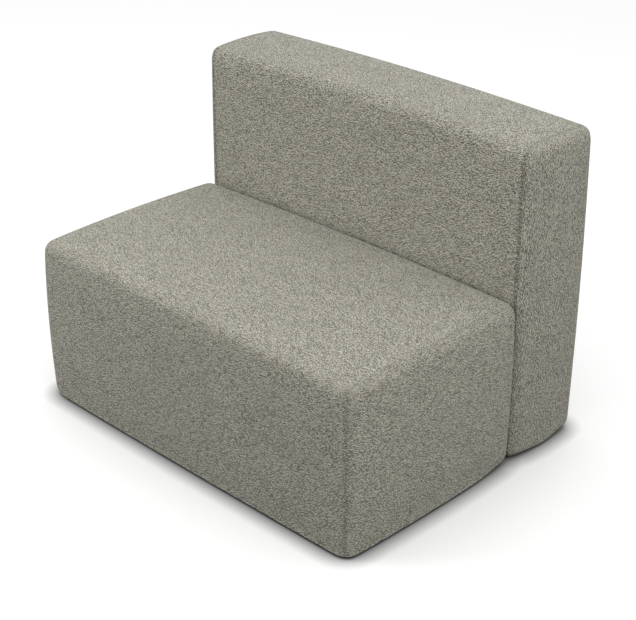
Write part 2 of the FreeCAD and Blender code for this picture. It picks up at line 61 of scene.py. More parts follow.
class Wire:
    """An output in a node tree. Sums on it add Math nodes, and node() brings in any other node."""

    def __init__(self, tree, socket=None):
        self.tree, self.socket = tree, socket

    def node(self, kind, settings=None, output=0, **sockets):
        """Adds a node. Socket names are written with _ for a space, and a number as _0, _1."""
        made = self.tree.nodes.new(kind)
        for name, value in (settings or {}).items():
            if name == "stops":
                ramp = made.color_ramp.elements
                while len(ramp) < len(value):
                    ramp.new(1)
                for stop, (place, colour) in zip(ramp, value):
                    stop.position, stop.color = place, (*colour, 1)
            else:
                setattr(made, name, value)
        for name, value in sockets.items():
            key = int(name[1:]) if name[0] == "_" else name.replace("_", " ")
            if isinstance(value, Wire):
                self.tree.links.new(value.socket, made.inputs[key])
            else:
                made.inputs[key].default_value = value
        return Wire(self.tree, made.outputs[output] if made.outputs else None)

    def sum(self, operation, first, second=0.0):
        return self.node("ShaderNodeMath", {"operation": operation}, _0=first, _1=second)

    def __add__(self, other):
        return self.sum("ADD", self, other)

    def __sub__(self, other):
        return self.sum("SUBTRACT", self, other)

    def __rsub__(self, other):
        return self.sum("SUBTRACT", other, self)

    def __mul__(self, other):
        return self.sum("MULTIPLY", self, other)

    def __truediv__(self, other):
        return self.sum("DIVIDE", self, other)

    def __pow__(self, other):
        return self.sum("POWER", self, other)

    __radd__, __rmul__ = __add__, __mul__

    def floor(self):
        return self.sum("FLOOR", self)

    def part(self):
        """What is left of a number above its floor."""
        return self.sum("FRACT", self)

    def wave(self):
        return self.sum("SINE", self)

    def ease(self, low, high, start=0.0, end=1.0):
        """Goes smoothly from start to end as the value goes from low to high."""
        return self.node("ShaderNodeMapRange", {"interpolation_type": "SMOOTHSTEP"}, Value=self,
                         From_Min=low, From_Max=high, To_Min=start, To_Max=end)

    def point(self, y=0.0, z=0.0):
        return self.node("ShaderNodeCombineXYZ", X=self, Y=y, Z=z)

    def axes(self):
        split = self.node("ShaderNodeSeparateXYZ", Vector=self).socket.node
        return [Wire(self.tree, output) for output in split.outputs]

    def scaled(self, x, y, z):
        return self.node("ShaderNodeVectorMath", {"operation": "MULTIPLY"}, _0=self, _1=(x, y, z))

    def noise(self, scale, detail=2.0, rough=0.5):
        return self.node("ShaderNodeTexNoise", Vector=self, Scale=scale, Detail=detail, Roughness=rough)

    def chance(self):
        """A fixed random number for each place."""
        return self.node("ShaderNodeTexWhiteNoise", {"noise_dimensions": "3D"}, Vector=self)

    def tint(self, *stops):
        """A colour from a ramp of places and colours."""
        return self.node("ShaderNodeValToRGB", {"stops": stops}, Fac=self)

    def times(self, colour):
        """This colour multiplied by another one."""
        return self.node("ShaderNodeMix", {"data_type": "RGBA", "blend_type": "MULTIPLY"}, output=2,
                         _0=1.0, _6=self, _7=colour)

    def shaded(self, colour):
        """A colour multiplied by this value."""
        return colour.times(self.point(self, self))

    def bump(self, height, strength=0.5):
        """The surface normal of this value, where 1 stands for the given height."""
        return self.node("ShaderNodeBump", Height=self, Distance=height, Strength=strength)


def emptied(owner):
    """A wire to start from, in the emptied node tree of a material or the world."""
    owner.use_nodes = True
    owner.node_tree.nodes.clear()
    return Wire(owner.node_tree)


def new_finish(name, paint):
    """A material. paint takes the place on a piece and a wire to start from, and gives the shader's sockets."""
    material = bpy.data.materials.new(name)
    start = emptied(material)
    place = start.node("ShaderNodeTexCoord", output="Object")
    shader = start.node("ShaderNodeBsdfPrincipled", **paint(place, start))
    start.node("ShaderNodeOutputMaterial", Surface=shader)
    return material


# Finishes

MM = 1000                                   # millimetres in a unit of the frame

YARN = 1.9                                  # tweed, mm: pitch of its rows
FLOAT, FLOAT_SPREAD = 1.8, 1.4              # mm: least length of a float, and how much is added at most
ROW_STRAY, FLOAT_STRAY = 0.7, 1.2           # mm: how far its rows and floats wander
ROW_SHIFT = 40                              # mm: how far the floats of a row may be shifted along it
CONTRAST = 0.3                              # how much a float stands out from the rows beside it
YARN_SHADES = ((0.0, 0.054), (0.18, 0.102), (0.42, 0.248), (0.72, 0.388), (1.0, 0.695))
YARN_HUE = (1.022, 1.0, 0.836)
TWEED_DEPTH = 0.0011
SEAM_BAND, PUCKER = 0.011, 0.014            # width of the drawn cloth beside a seam, and of its puckers

DOT = 1.6                                   # lining, mm: pitch of its pressed dots
RIB, CHEVRON = 2.2, 5.0                     # webbing, mm: pitch of its ribs, and width of a chevron
STEM_FOOT, THREAD_PITCH = 0.0078, 0.00125   # glide: height at which the stem starts, and pitch of its thread
PLY = 2.0                                   # plywood, mm: thickness of a ply
TWIST = 9000                                # sewing thread: radians of twist in a metre


def on_cloth(start):
    """The place along and across the weft of a cloth, in mm."""
    return start.node("ShaderNodeUVMap", {"uv_map": "cloth"}).scaled(MM, MM, 0).axes()[:2]


def tweed(place, start):
    """Heathered tweed: short floats of light, middle and dark yarn, in rows along the weft, with painted shade
    in the gaps between yarns, along the seams and on their puckers.
    """
    u, v = on_cloth(start)
    across, along = (u.point(v, level).noise(0.24, 2) - 0.5 for level in (0.0, 40.0))
    row = (v + across * ROW_STRAY) / YARN

    def strand(number):
        """Random shade of the float that crosses here in a row, and the place in that float."""
        shift = number.point(7.0).chance()
        at = (u + along * FLOAT_STRAY + shift * ROW_SHIFT) / (shift * FLOAT_SPREAD + FLOAT)
        return at.floor().point(number, 3.0).chance(), at

    yarn, at = strand(row.floor())
    beside = (strand(row.floor() + 1)[0] + strand(row.floor() - 1)[0]) / 2 - 0.5
    fibre = u.point(v * 1.4).noise(1.5, 3, 0.6)
    round_yarn = (row.part() * math.pi).wave() ** 0.6 * ((at.part() * math.pi).wave() ** 0.4)
    patches, drift = (u.point(v, level).noise(scale, 2) for level, scale in ((0.0, 0.012), (60.0, 0.03)))
    grey = (yarn - beside * CONTRAST).tint(
        *((share, tuple(shade * part for part in YARN_HUE)) for share, shade in YARN_SHADES))
    hue = drift.tint((0.25, (1.035, 1.0, 0.985)), (0.75, (0.975, 1.0, 1.0)))
    gap, run, pull = (start.node("ShaderNodeAttribute", {"attribute_name": f"seam_{label}"}, output=2)
                      for label in ("gap", "run", "pull"))
    drawn = gap.ease(0.0, SEAM_BAND, 1, 0) * pull
    pucker = (run * (2 * math.pi / PUCKER) + along * 5).wave() * drawn
    # Fibre and heather tone, times painted shade: darker in the gaps between the yarns, darker along the drawn
    # cloth beside a seam, and lighter and darker over its puckers
    tone_and_painted_shade = (fibre.ease(0.2, 0.8, 0.84, 1.16) * round_yarn.ease(0, 0.7, 0.72, 1.06) * (patches * 0.14 + 0.93)
            * (1 - drawn * 0.3 + pucker * 0.18))
    height = round_yarn * 0.12 + yarn * 0.4 + fibre * 0.35 + pucker * 0.9
    return {"Base_Color": tone_and_painted_shade.shaded(grey.times(hue)), "Roughness": fibre.ease(0, 1, 0.85, 1.0),
            "Normal": height.bump(TWEED_DEPTH, 0.6), "Sheen_Weight": 0.1, "Sheen_Roughness": 0.5,
            "Specular_IOR_Level": 0.2}


def lining(place, start):
    """Black spunbond lining: pressed dots in a net, and stray fibres."""
    x, y, _ = place.scaled(MM, MM, MM).axes()
    dots = ((x + y) * (math.pi / DOT)).wave() * ((x - y) * (math.pi / DOT)).wave()
    fibres = x.point(y).noise(0.9, 4, 0.7)
    colour = fibres.tint((0.3, (.010, .010, .011)), (0.7, (.034, .034, .035)))
    return {"Base_Color": dots.ease(0.2, 0.8, 1.0, 0.7).shaded(colour),
            "Roughness": fibres.ease(0.3, 0.7, 0.7, 0.9),
            "Normal": (fibres * 0.6 - dots.ease(0.2, 0.8)).bump(0.0003, 0.5)}


def webbing(place, start):
    """Elastic webbing: a fine herringbone along the strap, with a paler line near each edge."""
    along, across = on_cloth(start)
    edge = start.sum("ABSOLUTE", across)
    ribs = ((start.sum("PINGPONG", across, CHEVRON) + along) * (2 * math.pi / RIB)).wave()
    fibre = along.point(across).noise(1.4, 3)
    colour = fibre.tint((0.25, (.115, .105, .088)), (0.75, (.285, .268, .235)))
    line = edge.ease(17.0, 18.0) * edge.ease(19.5, 20.5, 1, 0)
    return {"Base_Color": (ribs * 0.14 + line * 0.9 + 0.86).shaded(colour), "Roughness": 0.85,
            "Normal": (ribs * 0.5 + fibre * 0.5).bump(0.0004, 0.5)}


def foam(place, start):
    """Cut polyurethane foam: open cells of mixed size, a little yellowed."""
    cell = place.node("ShaderNodeTexVoronoi", Vector=place, Scale=620.0, Randomness=1.0)
    clouds = place.noise(7, 3)
    colour = clouds.tint((0.3, (.640, .560, .350)), (0.7, (.760, .700, .490)))
    return {"Base_Color": cell.ease(0.1, 0.6, 0.8, 1.05).shaded(colour), "Roughness": 0.95,
            "Normal": cell.bump(0.0006, 0.5)}


def felt(place, start):
    """Needled felt of mixed grey fibres."""
    fibre = place.scaled(1, 1.6, 1).noise(420, 5, 0.7)
    fleck = place.node("ShaderNodeTexVoronoi", output=1, Vector=place, Scale=260.0)
    colour = fibre.tint((0.25, (.070, .066, .062)), (0.5, (.165, .155, .145)), (0.8, (.300, .285, .265)))
    return {"Base_Color": fleck.axes()[0].ease(0, 1, 0.75, 1.2).shaded(colour), "Roughness": 0.95,
            "Normal": fibre.bump(0.0008, 0.6)}


def zinc(place, start):
    """Bright zinc plate with the bloom and rub marks of a tumbled fastener."""
    bloom = place.noise(140, 4, 0.6)
    rub = place.scaled(1, 1, 6).noise(900, 2)
    colour = bloom.tint((0.3, (.500, .505, .505)), (0.7, (.700, .695, .665)))
    return {"Base_Color": colour, "Metallic": 1.0, "Roughness": bloom.ease(0.3, 0.7, 0.28, 0.46),
            "Normal": rub.bump(0.0001, 0.25)}


def spring_wire(place, start):
    """Oil-tempered spring wire: patches of blue-black scale over paler steel."""
    scale = place.noise(90, 4, 0.65)
    colour = scale.tint((0.3, (.052, .054, .060)), (0.65, (.130, .126, .120)))
    return {"Base_Color": colour, "Metallic": 1.0, "Roughness": scale.ease(0.3, 0.7, 0.34, 0.56),
            "Normal": place.noise(800, 2).bump(0.0001, 0.3)}


def glide(place, start):
    """Levelling glide: moulded black nylon pad and hub, zinc-plated stem above."""
    height = place.axes()[2]
    stem = height.ease(STEM_FOOT, STEM_FOOT + 0.0002)
    grain = place.noise(1300, 3)
    ridges = (height * (2 * math.pi / THREAD_PITCH)).wave()
    moulded = grain.tint((0.3, (.012, .012, .013)), (0.7, (.024, .024, .025)))
    plated = grain.tint((0.3, (.480, .480, .475)), (0.7, (.620, .615, .590)))
    colour = start.node("ShaderNodeMix", {"data_type": "RGBA"}, output=2, _0=stem, _6=moulded, _7=plated)
    return {"Base_Color": colour, "Metallic": stem,
            "Roughness": grain.ease(0.3, 0.7, 0.42, 0.55) - stem * 0.12,
            "Normal": (grain * (1 - stem) + ridges * stem).bump(0.0003, 0.4)}


def hardboard(place, start):
    """Raw hardboard: pressed brown fibre with darker shives."""
    pulp = place.scaled(1, 4, 1).noise(160, 5, 0.7)
    shive = place.scaled(0.3, 4, 1).noise(380, 2)
    colour = pulp.tint((0.25, (.082, .045, .022)), (0.7, (.185, .110, .058)))
    return {"Base_Color": shive.ease(0.55, 0.75, 1.0, 0.62).shaded(colour),
            "Roughness": pulp.ease(0.3, 0.7, 0.55, 0.75), "Normal": pulp.bump(0.0003, 0.4)}


def beech(place, start):
    """Sawn beech with its grain upright and the short dark flecks of its rays."""
    grain = place.scaled(90, 90, 5).noise(1, 4, 0.6)
    ray = place.scaled(420, 420, 60).noise(1, 1)
    colour = grain.tint((0.25, (.420, .235, .110)), (0.55, (.545, .335, .170)), (0.8, (.620, .410, .230)))
    return {"Base_Color": ray.ease(0.62, 0.72, 1.0, 0.66).shaded(colour),
            "Roughness": grain.ease(0.3, 0.7, 0.5, 0.66), "Normal": grain.bump(0.0004, 0.35)}


def plywood(thickness):
    """Birch plywood: plies across the named axis, every other one with its grain turned."""
    def paint(place, start):
        axes = dict(zip("xyz", place.scaled(MM, MM, MM).axes()))
        depth = axes.pop(thickness)
        first, second = axes.values()
        turned = start.sum("MODULO", (depth / PLY + 1000).floor(), 2.0)    # 1000 keeps it above 0
        lengthwise, crosswise = ((a / 26).point(b / 1.6, depth / PLY).noise(1, 4, 0.65)
                                 for a, b in ((first, second), (second, first)))
        grain = lengthwise + (crosswise - lengthwise) * turned
        colour = grain.tint((0.25, (.360, .215, .105)), (0.55, (.560, .385, .215)), (0.8, (.680, .500, .310)))
        glue = start.sum("PINGPONG", depth, PLY / 2).ease(0.0, 0.12, 0.6, 1.0)
        return {"Base_Color": (glue * (1 - turned * 0.14)).shaded(colour),
                "Roughness": grain.ease(0.3, 0.7, 0.48, 0.68), "Normal": grain.bump(0.0003, 0.3)}
    return paint


def thread(place, start):
    """Twisted sewing thread in the tweed's middle grey."""
    twist = (place.axes()[2] * TWIST).wave()
    colour = twist.tint((0.0, (.190, .187, .157)), (1.0, (.300, .296, .250)))
    return {"Base_Color": colour, "Roughness": twist.ease(-1, 1, 0.55, 0.75),
            "Normal": twist.bump(0.0001, 0.4)}


PAINTS = {"tweed_fabric": tweed, "black_lining": lining, "webbing": webbing, "foam": foam, "felt": felt,
          "zinc_steel": zinc, "spring_steel": spring_wire, "black_nylon": glide, "hardboard": hardboard,
          "beech": beech, "plywood_x": plywood("x"), "plywood_y": plywood("y"), "plywood_z": plywood("z"),
          "thread": thread}
FINISHES = {name: new_finish(name, paint) for name, paint in PAINTS.items()}
for name, node in nodes.items():
    slot = slot_of[name]
    if slot == "plywood":
        low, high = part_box(name)
        slot += "_" + "xyz"[min(range(3), key=lambda axis: high[axis] - low[axis])]
    node.data.materials.clear()
    node.data.materials.append(FINISHES[slot])


# Camera and stage

AZIMUTH, ELEVATION = math.radians(44.71), math.radians(27.25)
TARGET, DISTANCE = Vector((0.1683, -0.1251, 0.400)), 3.7994
towards = Vector((math.sin(AZIMUTH) * math.cos(ELEVATION), -math.cos(AZIMUTH) * math.cos(ELEVATION),
                  math.sin(ELEVATION)))
camera = bpy.data.objects.new("camera", bpy.data.cameras.new("camera"))
camera.data.sensor_width, camera.data.lens = 36, 89.45
camera.location = TARGET + towards * DISTANCE
camera.rotation_euler = (-towards).to_track_quat("-Z", "Y").to_euler()
scene.collection.objects.link(camera)
scene.camera = camera
scene.view_settings.view_transform = "Standard"

LAMPS = {   # power, width and place
    "front_left": (45, 1.6, (-2.2, -2.6, 1.9)),
    "right": (27, 1.6, (3.0, -0.6, 1.6)),
    "behind": (7, 1.6, (0.2, 1.8, 2.2)),
}
LAMP_AIM = Vector((0, 0, 0.4))
EVEN = 0.614                                # light of the whole sky
OVERHEAD, NARROWED = 0.77, 3                # what is added at the zenith, and how fast it falls off
FLOOR_BOUNCE = 0.1                          # share of its light that the floor gives back to the loveseat
FLOOR_HALF = 9
SHADOW_REACH, SHADOW_DEPTH = 0.05, 1.4      # of the contact shadow
for name, (power, width, spot) in LAMPS.items():
    lamp = bpy.data.objects.new(name, bpy.data.lights.new(name, "AREA"))
    lamp.data.energy, lamp.data.size = power, width
    lamp.location = spot
    lamp.rotation_euler = (Vector(spot) - LAMP_AIM).to_track_quat("Z", "Y").to_euler()
    scene.collection.objects.link(lamp)


def seen_direct(start):
    """1 for what the camera, a reflection or glass shows, and 0 for light on the object."""
    rays = [start.node("ShaderNodeLightPath", output=kind)
            for kind in ("Is Camera Ray", "Is Glossy Ray", "Is Transmission Ray")]
    return start.sum("MINIMUM", rays[0] + rays[1] + rays[2], 1.0)


scene.world = bpy.data.worlds.new("studio")
sky = emptied(scene.world)
zenith = sky.sum("MAXIMUM", sky.node("ShaderNodeTexCoord", output="Generated").axes()[2], 0.0) ** NARROWED
white = seen_direct(sky)
sky.node("ShaderNodeOutputWorld", Surface=sky.node(
    "ShaderNodeBackground", Color=(1, 1, 1, 1), Strength=white + (1 - white) * (zenith * OVERHEAD + EVEN)))

floor_finish = bpy.data.materials.new("floor")
ground = emptied(floor_finish)
white = seen_direct(ground)
# Painted contact shadow: for the camera the floor's colour is darkened by ambient occlusion near the loveseat,
# on top of the shadow that the lamps cast
contact = ground.node("ShaderNodeAmbientOcclusion", {"samples": 16}, output="AO", Distance=SHADOW_REACH)
tone = white * contact ** SHADOW_DEPTH + (1 - white) * FLOOR_BOUNCE
ground.node("ShaderNodeOutputMaterial",
            Surface=ground.node("ShaderNodeBsdfDiffuse", Color=tone.point(tone, tone)))


# Making pieces

def new_piece(name, points, faces, edges=()):
    mesh = bpy.data.meshes.new(name)
    mesh.from_pydata([tuple(p) for p in points], list(edges), faces)
    piece = bpy.data.objects.new(name, mesh)
    scene.collection.objects.link(piece)
    return piece


def evaluated(piece):
    return piece.evaluated_get(bpy.context.evaluated_depsgraph_get())


def shade_smooth(mesh):
    mesh.polygons.foreach_set("use_smooth", [True] * len(mesh.polygons))


def surface_of(mesh):
    """A mesh to cast rays at and to find nearest points on."""
    return BVHTree.FromPolygons([v.co for v in mesh.vertices], [p.vertices for p in mesh.polygons])


def stand_for(piece, node):
    """Gives a soft piece the finish of the CAD node that it replaces, attaches it to the loveseat and hides
    that node.
    """
    piece.data.materials.clear()
    piece.data.materials.append(FINISHES[slot_of[node]])
    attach(piece, "loveseat")
    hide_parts(node)


FLOOR_CORNERS = ((-1, -1), (1, -1), (1, 1), (-1, 1))
floor = new_piece("floor", [(x * FLOOR_HALF, y * FLOOR_HALF, 0) for x, y in FLOOR_CORNERS], [(0, 1, 2, 3)])
floor.data.materials.append(floor_finish)


# Sewn covers

SEAM_LINES = (0, .0015, .004, .009)         # grid lines beside a seam, as lengths of cloth
SEAM_RISE = (-.0019, -.0009, .0004, 0)      # how far the cloth stands out on those lines
TOP_SEAM = 0.55                             # how much flatter a seam over the top is than an upright one
LINES_APART = 0.003                         # least room between the lines beside a seam and other grid lines
FOOT, CORNER_FOOT = 0.003, 0.024            # radius of the fold at the foot of a cover, and at its corners
FOOT_ROOM = 0.0005                          # between that fold and the underside of the CAD cover
FOOT_LINES = (0, .004, .009, .016, .025)    # grid lines above the foot
TUCK_STRIP, TUCK_ENDS = 0.04, 0.09          # how far from an upright edge its foot is drawn in
HEM = (0.008, 0.017, 0.026)                 # rows of the cloth that is folded under
HEM_IN, HEM_UP = 0.001, 0.004               # the raw edge of the hem, turned up
EDGE_HELD, EDGE_TURN = 0.85, 0.2            # how firmly the foam's edges hold a cover, and from what turn on
SEAM_HELD, SEAM_REACH = 0.6, 0.012          # how firmly a seam holds it, and how far from the seam
FOOT_REACH = 0.02                           # how far up the foot holds it
SLACK = 0.0025                              # how far inside the block a cover starts before it is swollen
SWELL_CAP = 0.0025                          # most that it moves
SWELL_FRAMES = 20
OUTSIDE, STRAY = 0.2, 0.025                 # where rays start, and how far from the block a hit is still used
RIGHT_ROLL, LEFT_ROLL = 3, 5                # place of the end panels on the cloth, each with its own yarns


def seam_marks(radius, seam):
    """Where grid lines run from the middle of a rounded edge to past its seam, as lengths of cloth."""
    beside = [seam + side * step for step in SEAM_LINES for side in (-1, 1)]
    plain = [radius * math.pi / 4 * share for share in (0, 0.25, 0.5, 0.75, 1)]
    plain = [mark for mark in plain if min(abs(mark - line) for line in beside) > LINES_APART]
    return sorted({round(mark, 6) for mark in beside + plain + [0] if mark >= 0})


def grid_lines(low, high, radius, step, marks, round_low=True):
    """Grid lines across a block: places on its box, and lengths along the cloth from the low side."""
    turn = radius * math.pi / 4
    marks = np.array(marks)
    edge_place = np.where(marks < turn, radius - radius * np.tan((turn - marks) / radius),
                          radius + marks - turn)
    start = turn if round_low else 0
    total = start + high - low - radius * (2 if round_low else 1) + turn
    first = marks if round_low else np.array(FOOT_LINES)
    count = max(2, round((total - marks[-1] - first[-1]) / step))
    flat = np.linspace(first[-1], total - marks[-1], count + 1)[1:-1]
    place = np.concatenate([low + (edge_place if round_low else first),
                            low + flat - start + (radius if round_low else 0), (high - edge_place)[::-1]])
    return place, np.concatenate([first, flat, (total - marks)[::-1]])


def swollen(name, points, faces, held):
    """Where the foam's push takes the points of a cover, by cloth simulation."""
    cloth = new_piece(f"{name}_slack", points, faces)
    pins = cloth.vertex_groups.new(name="held")
    for number, weight in enumerate(held):
        pins.add([number], float(weight), "REPLACE")
    swell = cloth.modifiers.new("swell", "CLOTH")
    settings = swell.settings
    settings.quality, settings.mass = 6, 0.3
    settings.tension_stiffness = settings.compression_stiffness = 40
    settings.shear_stiffness, settings.bending_stiffness = 20, 8
    settings.use_pressure, settings.uniform_pressure_force = True, 4
    settings.vertex_group_mass, settings.pin_stiffness = "held", 1
    settings.effector_weights.gravity = 0
    swell.collision_settings.use_collision = False
    swell.point_cache.frame_start, swell.point_cache.frame_end = 1, SWELL_FRAMES
    for step in range(1, SWELL_FRAMES + 1):
        scene.frame_set(step)
    result = np.array([v.co for v in evaluated(cloth).data.vertices])
    bpy.data.objects.remove(cloth)
    scene.frame_set(1)
    return result


def sewn_cover(name, node, radius, step, seam_at, pull, leans, tucked, ends_upright):
    """A cover of one strip over front, top and rear and a panel at each end, swollen by its foam.

    The end panels turn over the edges of the block and are sewn on seam_at past the middle of each edge,
    drawn in by pull. leans says of a place whether it rests on the other block, and so stays flat, and tucked
    how much the foot of the nearest upright edge is drawn in. The weft of the end panels runs up if
    ends_upright, and else from front to rear.
    """
    low, high = (np.array(corner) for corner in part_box(node))
    surface = surface_of(nodes[node].data)
    marks = seam_marks(radius, seam_at)
    seam_line = marks.index(round(seam_at, 6))
    turn = [radius * math.pi / 4 * share for share in (0, 1 / 3, 2 / 3, 1)]
    xs, u = grid_lines(low[0], high[0], radius, step, marks)
    ys, d = grid_lines(low[1], high[1], radius, step, turn)
    zs, h = grid_lines(low[2] + FOOT + FOOT_ROOM, high[2], radius, step, turn, round_low=False)
    last_x, last_y, last_z = len(xs) - 1, len(ys) - 1, len(zs) - 1
    inner_low = np.array([low[0] + radius, low[1] + radius, -1])
    inner_high = high - radius
    points, normals, spot = [], [], {}

    def past(i):
        """Length of cloth past the middle of the nearer end's edge."""
        return min(u[i], u[-1] - u[i])

    def tuck(i, j, at):
        """How far the cover is drawn in above its foot, which is most at the upright edges."""
        apart = past(i) / TUCK_STRIP if 0 < i < last_x else min(d[j], d[-1] - d[j]) / TUCK_ENDS
        arc = FOOT + (CORNER_FOOT - FOOT) * tucked(at) * math.exp(-apart ** 2)
        return arc - math.sqrt(arc ** 2 - max(0, arc - at[2] + low[2]) ** 2)

    # Points on the CAD cover, seen from outside along the normals of a rounded block
    for i in range(last_x + 1):
        for j in range(last_y + 1):
            rim = i in (0, last_x) or j in (0, last_y)
            for k in range(0 if rim else last_z, last_z + 1):
                corner = np.array([xs[i], ys[j], zs[k]])
                anchor = np.clip(corner, inner_low, inner_high)
                normal = (corner - anchor) / np.linalg.norm(corner - anchor)
                hit = surface.ray_cast(Vector(anchor + normal * OUTSIDE), Vector(-normal))[0]
                found = np.array(hit) if hit else corner
                if abs(np.linalg.norm(found - anchor) - radius) > STRAY:
                    found = anchor + normal * radius
                spot[i, j, k] = len(points)
                points.append(found - normal * tuck(i, j, corner))
                normals.append(normal)

    # Fold at the foot, and the hem under the boards
    fold = [(FOOT * (1 - math.cos(a)), FOOT * math.sin(a)) for a in (math.pi / 6, math.pi / 3, math.pi / 2)]
    fold += [(FOOT + inward, FOOT) for inward in HEM] + [(FOOT + HEM[-1] + HEM_IN, FOOT - HEM_UP)]
    under = -np.cumsum([FOOT * math.pi / 6] * 3 + list(np.diff((0,) + HEM)) + [HEM_UP])
    for i, j, _ in [key for key in spot if key[2] == 0]:
        top, normal = points[spot[i, j, 0]], normals[spot[i, j, 0]]
        for row, (inward, down) in enumerate(fold, 1):
            spot[i, j, -row] = len(points)
            points.append(top - normal * inward - np.array([0, 0, down]))
            normals.append(normal)
    h = np.concatenate([h, under[::-1]])    # so that h[-row] is the length of a hem row

    # Faces, with the cloth's own lengths as UV
    faces, cloth = [], []

    def face(corners, flat):
        faces.append([spot[c] for c in corners])
        cloth.extend(flat(*c) for c in corners)

    def panel(i, up, deep):
        roll = RIGHT_ROLL if 2 * i > last_x else LEFT_ROLL
        return (up + roll, deep) if ends_upright else (deep + roll, up)

    strip_top, strip_rear = h[last_z], h[last_z] + d[-1]
    for i in range(last_x):
        turned_over = i < seam_line or i >= last_x - seam_line
        for k in range(-len(fold), last_z):
            face([(i, 0, k), (i + 1, 0, k), (i + 1, 0, k + 1), (i, 0, k + 1)],
                 lambda i, j, k: panel(i, h[k], -past(i)) if turned_over else (u[i], h[k]))
            face([(i + 1, last_y, k), (i, last_y, k), (i, last_y, k + 1), (i + 1, last_y, k + 1)],
                 lambda i, j, k: panel(i, h[k], d[-1] + past(i)) if turned_over
                 else (u[i], strip_rear + strip_top - h[k]))
        for j in range(last_y):
            face([(i, j, last_z), (i + 1, j, last_z), (i + 1, j + 1, last_z), (i, j + 1, last_z)],
                 lambda i, j, k: panel(i, strip_top + past(i), d[j]) if turned_over
                 else (u[i], strip_top + d[j]))
    for j in range(last_y):
        for k in range(-len(fold), last_z):
            for i, start, end in ((last_x, j, j + 1), (0, j + 1, j)):
                face([(i, start, k), (i, end, k), (i, end, k + 1), (i, start, k + 1)],
                     lambda i, j, k: panel(i, h[k], d[j]))

    # Distance from the seam of the nearer end panel, place along it, and how firmly each point is held
    gap, run, held = (np.zeros(len(points)) for _ in range(3))
    seam = {seam_line: [], last_x - seam_line: []}
    for (i, j, k), number in spot.items():
        inside, run[number] = min((d[j], h[k]), (strip_top - h[k], strip_top + d[j]),
                                  (d[-1] - d[j], strip_rear + strip_top - h[k]))
        gap[number] = abs(past(i) - seam_at) if past(i) > 0 else inside + seam_at
        if i in seam and k >= 0:
            seam[i].append((run[number], number))
        at_edge = min(1.0, (1 - abs(normals[number]).max()) / EDGE_TURN)
        at_seam = math.exp(-(gap[number] / SEAM_REACH) ** 2)
        held[number] = 1.0 if k <= 0 else max(SEAM_HELD * at_seam, EDGE_HELD * at_edge, leans(points[number]),
                                              math.exp(-h[k] / FOOT_REACH))
    points, normals = np.array(points), np.array(normals)
    slack = points - normals * (SLACK * (1 - held))[:, None]
    moved = swollen(name, slack, faces, held) - points
    reach = np.linalg.norm(moved, axis=1)
    points = points + moved * (SWELL_CAP / (SWELL_CAP + reach))[:, None]
    drawn = pull * (1 - TOP_SEAM * normals[:, 2])
    above_foot = np.array([h[k] >= 0 for _, _, k in spot])
    sunk = drawn * np.interp(gap, SEAM_LINES, SEAM_RISE) * above_foot

    piece = new_piece(name, points + normals * sunk[:, None], faces)
    mesh = piece.data
    mesh.uv_layers.new(name="cloth").data.foreach_set("uv", np.array(cloth, np.float32).ravel())
    for label, values in (("seam_gap", gap), ("seam_run", run), ("seam_pull", drawn)):
        mesh.attributes.new(label, "FLOAT", "POINT").data.foreach_set("value", values.astype(np.float32))
    shade_smooth(mesh)
    rounding = piece.modifiers.new("rounding", "SUBSURF")
    rounding.levels = rounding.render_levels = 1
    stand_for(piece, node)
    return piece, [[number for _, number in sorted(line)] for line in seam.values()]


JOINT = (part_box("seat_cover")[1].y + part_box("back_cover")[0].y) / 2
SEAT_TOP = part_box("seat_cover")[1].z
LEAN = (0.004, 0.03)        # distances from the joint up to which a cover lies flat, and from which it is free
LEAN_FADE = 0.05            # height over which the back comes free below the seat's top
SQUARE_FOOT = 0.15          # share by which the seat's right front foot is drawn in, which is squarer
seat_cover, seat_seams = sewn_cover(
    "seat_cover_sewn", "seat_cover", radius=0.036, step=0.014, seam_at=0.009, pull=0.5, ends_upright=False,
    leans=lambda at: float(np.interp(JOINT - at[1], LEAN, (1, 0))),
    tucked=lambda at: SQUARE_FOOT if at[0] > 0 and at[1] < 0 else 1.0)
back_cover, back_seams = sewn_cover(
    "back_cover_sewn", "back_cover", radius=0.032, step=0.015, seam_at=0.025, pull=1.0, ends_upright=True,
    leans=lambda at: float(np.interp(at[1] - JOINT, LEAN, (1, 0))
                           * np.interp(at[2], (SEAT_TOP - LEAN_FADE, SEAT_TOP), (1, 0))),
    tucked=lambda at: 1.0)


# Pieces laid along a path: the stitches of the seams and the staples of the dust covers

STITCH = (0.0019, 0.00042, 0.00036)         # half its length, width and height
STITCH_PITCH, STITCH_ASKEW, STITCH_LIFT = 0.0045, 0.06, 0.0001
STAPLE_PITCH, STAPLE_ASKEW = 0.046, 0.12


